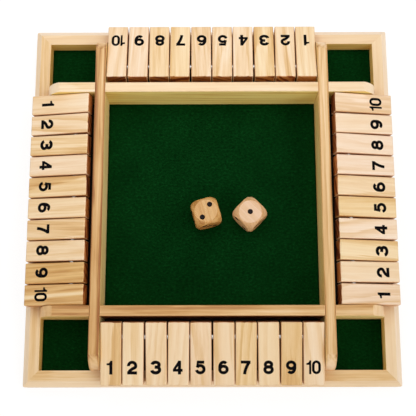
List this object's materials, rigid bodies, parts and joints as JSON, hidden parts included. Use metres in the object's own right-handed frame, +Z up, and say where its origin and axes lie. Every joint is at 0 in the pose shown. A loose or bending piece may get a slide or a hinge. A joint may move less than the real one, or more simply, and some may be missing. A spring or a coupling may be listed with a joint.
{
  "type": "shut the box game",
  "caption": "Square pine game box for four players: felt dice tray, a row of hinged number tiles on each side, felt corner pockets and dice.",
  "frame": {"origin": "middle of the underside", "axes": "+Z up; +Y from the south player's side to the north side; +X from the west side to the east side"},
  "size_m": [0.221, 0.221, 0.028],
  "materials": {
    "pine_frame": "satin clear lacquer over sanded pine",
    "base_board": "bare brown hardboard",
    "green_felt": "short matt felt",
    "steel_rod": "drawn steel",
    "pine_tile": "satin clear lacquer over sanded pine",
    "pine_die": "satin clear lacquer over tumbled wood",
    "number_paint": "black printed paint",
    "pip_paint": "dark paint pooled in drilled pips"
  },
  "bodies": {
    "box": {"base_panel": "base_board", "felt_lining": "green_felt", "long_divider_east": "pine_frame", "long_divider_west": "pine_frame", "cross_divider_north": "pine_frame", "cross_divider_south": "pine_frame", "rail_south": "pine_frame", "rail_east": "pine_frame", "rail_north": "pine_frame", "rail_west": "pine_frame", "corner_divider_northeast": "pine_frame", "corner_divider_northwest": "pine_frame", "corner_divider_southwest": "pine_frame", "corner_divider_southeast": "pine_frame", "hinge_rod_south": "steel_rod", "hinge_rod_east": "steel_rod", "hinge_rod_north": "steel_rod", "hinge_rod_west": "steel_rod"},
    "tile_south_1": {"tile_south_1": "pine_tile"},
    "tile_south_2": {"tile_south_2": "pine_tile"},
    "tile_south_3": {"tile_south_3": "pine_tile"},
    "tile_south_4": {"tile_south_4": "pine_tile"},
    "tile_south_5": {"tile_south_5": "pine_tile"},
    "tile_south_6": {"tile_south_6": "pine_tile"},
    "tile_south_7": {"tile_south_7": "pine_tile"},
    "tile_south_8": {"tile_south_8": "pine_tile"},
    "tile_south_9": {"tile_south_9": "pine_tile"},
    "tile_south_10": {"tile_south_10": "pine_tile"},
    "tile_east_1": {"tile_east_1": "pine_tile"},
    "tile_east_2": {"tile_east_2": "pine_tile"},
    "tile_east_3": {"tile_east_3": "pine_tile"},
    "tile_east_4": {"tile_east_4": "pine_tile"},
    "tile_east_5": {"tile_east_5": "pine_tile"},
    "tile_east_6": {"tile_east_6": "pine_tile"},
    "tile_east_7": {"tile_east_7": "pine_tile"},
    "tile_east_8": {"tile_east_8": "pine_tile"},
    "tile_east_9": {"tile_east_9": "pine_tile"},
    "tile_east_10": {"tile_east_10": "pine_tile"},
    "tile_north_1": {"tile_north_1": "pine_tile"},
    "tile_north_2": {"tile_north_2": "pine_tile"},
    "tile_north_3": {"tile_north_3": "pine_tile"},
    "tile_north_4": {"tile_north_4": "pine_tile"},
    "tile_north_5": {"tile_north_5": "pine_tile"},
    "tile_north_6": {"tile_north_6": "pine_tile"},
    "tile_north_7": {"tile_north_7": "pine_tile"},
    "tile_north_8": {"tile_north_8": "pine_tile"},
    "tile_north_9": {"tile_north_9": "pine_tile"},
    "tile_north_10": {"tile_north_10": "pine_tile"},
    "tile_west_1": {"tile_west_1": "pine_tile"},
    "tile_west_2": {"tile_west_2": "pine_tile"},
    "tile_west_3": {"tile_west_3": "pine_tile"},
    "tile_west_4": {"tile_west_4": "pine_tile"},
    "tile_west_5": {"tile_west_5": "pine_tile"},
    "tile_west_6": {"tile_west_6": "pine_tile"},
    "tile_west_7": {"tile_west_7": "pine_tile"},
    "tile_west_8": {"tile_west_8": "pine_tile"},
    "tile_west_9": {"tile_west_9": "pine_tile"},
    "tile_west_10": {"tile_west_10": "pine_tile"},
    "die_left": {"die_left": "pine_die"},
    "die_right": {"die_right": "pine_die"}
  },
  "joints": [
    {"name": "flip_south_1", "type": "hinge", "parent": "box", "child": "tile_south_1", "pos_m": [0, -0.0823, 0.0226], "axis": [-1, 0, 0], "range_deg": [0, 133.5]},
    {"name": "flip_south_2", "type": "hinge", "parent": "box", "child": "tile_south_2", "pos_m": [0, -0.0823, 0.0226], "axis": [-1, 0, 0], "range_deg": [0, 149.25]},
    {"name": "flip_south_3", "type": "hinge", "parent": "box", "child": "tile_south_3", "pos_m": [0, -0.0823, 0.0226], "axis": [-1, 0, 0], "range_deg": [0, 149.25]},
    {"name": "flip_south_4", "type": "hinge", "parent": "box", "child": "tile_south_4", "pos_m": [0, -0.0823, 0.0226], "axis": [-1, 0, 0], "range_deg": [0, 149.25]},
    {"name": "flip_south_5", "type": "hinge", "parent": "box", "child": "tile_south_5", "pos_m": [0, -0.0823, 0.0226], "axis": [-1, 0, 0], "range_deg": [0, 149.25]},
    {"name": "flip_south_6", "type": "hinge", "parent": "box", "child": "tile_south_6", "pos_m": [0, -0.0823, 0.0226], "axis": [-1, 0, 0], "range_deg": [0, 149.25]},
    {"name": "flip_south_7", "type": "hinge", "parent": "box", "child": "tile_south_7", "pos_m": [0, -0.0823, 0.0226], "axis": [-1, 0, 0], "range_deg": [0, 149.25]},
    {"name": "flip_south_8", "type": "hinge", "parent": "box", "child": "tile_south_8", "pos_m": [0, -0.0823, 0.0226], "axis": [-1, 0, 0], "range_deg": [0, 149.25]},
    {"name": "flip_south_9", "type": "hinge", "parent": "box", "child": "tile_south_9", "pos_m": [0, -0.0823, 0.0226], "axis": [-1, 0, 0], "range_deg": [0, 149.25]},
    {"name": "flip_south_10", "type": "hinge", "parent": "box", "child": "tile_south_10", "pos_m": [0, -0.0823, 0.0226], "axis": [-1, 0, 0], "range_deg": [0, 133.5]},
    {"name": "flip_east_1", "type": "hinge", "parent": "box", "child": "tile_east_1", "pos_m": [0.0823, 0, 0.0226], "axis": [0, -1, 0], "range_deg": [0, 149.25]},
    {"name": "flip_east_2", "type": "hinge", "parent": "box", "child": "tile_east_2", "pos_m": [0.0823, 0, 0.0226], "axis": [0, -1, 0], "range_deg": [0, 149.25]},
    {"name": "flip_east_3", "type": "hinge", "parent": "box", "child": "tile_east_3", "pos_m": [0.0823, 0, 0.0226], "axis": [0, -1, 0], "range_deg": [0, 149.25]},
    {"name": "flip_east_4", "type": "hinge", "parent": "box", "child": "tile_east_4", "pos_m": [0.0823, 0, 0.0226], "axis": [0, -1, 0], "range_deg": [0, 149.25]},
    {"name": "flip_east_5", "type": "hinge", "parent": "box", "child": "tile_east_5", "pos_m": [0.0823, 0, 0.0226], "axis": [0, -1, 0], "range_deg": [0, 149.25]},
    {"name": "flip_east_6", "type": "hinge", "parent": "box", "child": "tile_east_6", "pos_m": [0.0823, 0, 0.0226], "axis": [0, -1, 0], "range_deg": [0, 149.25]},
    {"name": "flip_east_7", "type": "hinge", "parent": "box", "child": "tile_east_7", "pos_m": [0.0823, 0, 0.0226], "axis": [0, -1, 0], "range_deg": [0, 149.25]},
    {"name": "flip_east_8", "type": "hinge", "parent": "box", "child": "tile_east_8", "pos_m": [0.0823, 0, 0.0226], "axis": [0, -1, 0], "range_deg": [0, 149.25]},
    {"name": "flip_east_9", "type": "hinge", "parent": "box", "child": "tile_east_9", "pos_m": [0.0823, 0, 0.0226], "axis": [0, -1, 0], "range_deg": [0, 149.25]},
    {"name": "flip_east_10", "type": "hinge", "parent": "box", "child": "tile_east_10", "pos_m": [0.0823, 0, 0.0226], "axis": [0, -1, 0], "range_deg": [0, 149.25]},
    {"name": "flip_north_1", "type": "hinge", "parent": "box", "child": "tile_north_1", "pos_m": [0, 0.0823, 0.0226], "axis": [1, 0, 0], "range_deg": [0, 133.5]},
    {"name": "flip_north_2", "type": "hinge", "parent": "box", "child": "tile_north_2", "pos_m": [0, 0.0823, 0.0226], "axis": [1, 0, 0], "range_deg": [0, 149.25]},
    {"name": "flip_north_3", "type": "hinge", "parent": "box", "child": "tile_north_3", "pos_m": [0, 0.0823, 0.0226], "axis": [1, 0, 0], "range_deg": [0, 149.25]},
    {"name": "flip_north_4", "type": "hinge", "parent": "box", "child": "tile_north_4", "pos_m": [0, 0.0823, 0.0226], "axis": [1, 0, 0], "range_deg": [0, 149.25]},
    {"name": "flip_north_5", "type": "hinge", "parent": "box", "child": "tile_north_5", "pos_m": [0, 0.0823, 0.0226], "axis": [1, 0, 0], "range_deg": [0, 149.25]},
    {"name": "flip_north_6", "type": "hinge", "parent": "box", "child": "tile_north_6", "pos_m": [0, 0.0823, 0.0226], "axis": [1, 0, 0], "range_deg": [0, 149.25]},
    {"name": "flip_north_7", "type": "hinge", "parent": "box", "child": "tile_north_7", "pos_m": [0, 0.0823, 0.0226], "axis": [1, 0, 0], "range_deg": [0, 149.25]},
    {"name": "flip_north_8", "type": "hinge", "parent": "box", "child": "tile_north_8", "pos_m": [0, 0.0823, 0.0226], "axis": [1, 0, 0], "range_deg": [0, 149.25]},
    {"name": "flip_north_9", "type": "hinge", "parent": "box", "child": "tile_north_9", "pos_m": [0, 0.0823, 0.0226], "axis": [1, 0, 0], "range_deg": [0, 149.25]},
    {"name": "flip_north_10", "type": "hinge", "parent": "box", "child": "tile_north_10", "pos_m": [0, 0.0823, 0.0226], "axis": [1, 0, 0], "range_deg": [0, 133.5]},
    {"name": "flip_west_1", "type": "hinge", "parent": "box", "child": "tile_west_1", "pos_m": [-0.0823, 0, 0.0226], "axis": [0, 1, 0], "range_deg": [0, 149.25]},
    {"name": "flip_west_2", "type": "hinge", "parent": "box", "child": "tile_west_2", "pos_m": [-0.0823, 0, 0.0226], "axis": [0, 1, 0], "range_deg": [0, 149.25]},
    {"name": "flip_west_3", "type": "hinge", "parent": "box", "child": "tile_west_3", "pos_m": [-0.0823, 0, 0.0226], "axis": [0, 1, 0], "range_deg": [0, 149.25]},
    {"name": "flip_west_4", "type": "hinge", "parent": "box", "child": "tile_west_4", "pos_m": [-0.0823, 0, 0.0226], "axis": [0, 1, 0], "range_deg": [0, 149.25]},
    {"name": "flip_west_5", "type": "hinge", "parent": "box", "child": "tile_west_5", "pos_m": [-0.0823, 0, 0.0226], "axis": [0, 1, 0], "range_deg": [0, 149.25]},
    {"name": "flip_west_6", "type": "hinge", "parent": "box", "child": "tile_west_6", "pos_m": [-0.0823, 0, 0.0226], "axis": [0, 1, 0], "range_deg": [0, 149.25]},
    {"name": "flip_west_7", "type": "hinge", "parent": "box", "child": "tile_west_7", "pos_m": [-0.0823, 0, 0.0226], "axis": [0, 1, 0], "range_deg": [0, 149.25]},
    {"name": "flip_west_8", "type": "hinge", "parent": "box", "child": "tile_west_8", "pos_m": [-0.0823, 0, 0.0226], "axis": [0, 1, 0], "range_deg": [0, 149.25]},
    {"name": "flip_west_9", "type": "hinge", "parent": "box", "child": "tile_west_9", "pos_m": [-0.0823, 0, 0.0226], "axis": [0, 1, 0], "range_deg": [0, 149.25]},
    {"name": "flip_west_10", "type": "hinge", "parent": "box", "child": "tile_west_10", "pos_m": [-0.0823, 0, 0.0226], "axis": [0, 1, 0], "range_deg": [0, 149.25]},
    {"name": "lift_die_left", "type": "slide", "parent": "box", "child": "die_left", "axis": [0, 0, 1], "range_m": [0, 0.06]},
    {"name": "lift_die_right", "type": "slide", "parent": "box", "child": "die_right", "axis": [0, 0, 1], "range_m": [0, 0.06]}
  ]
}
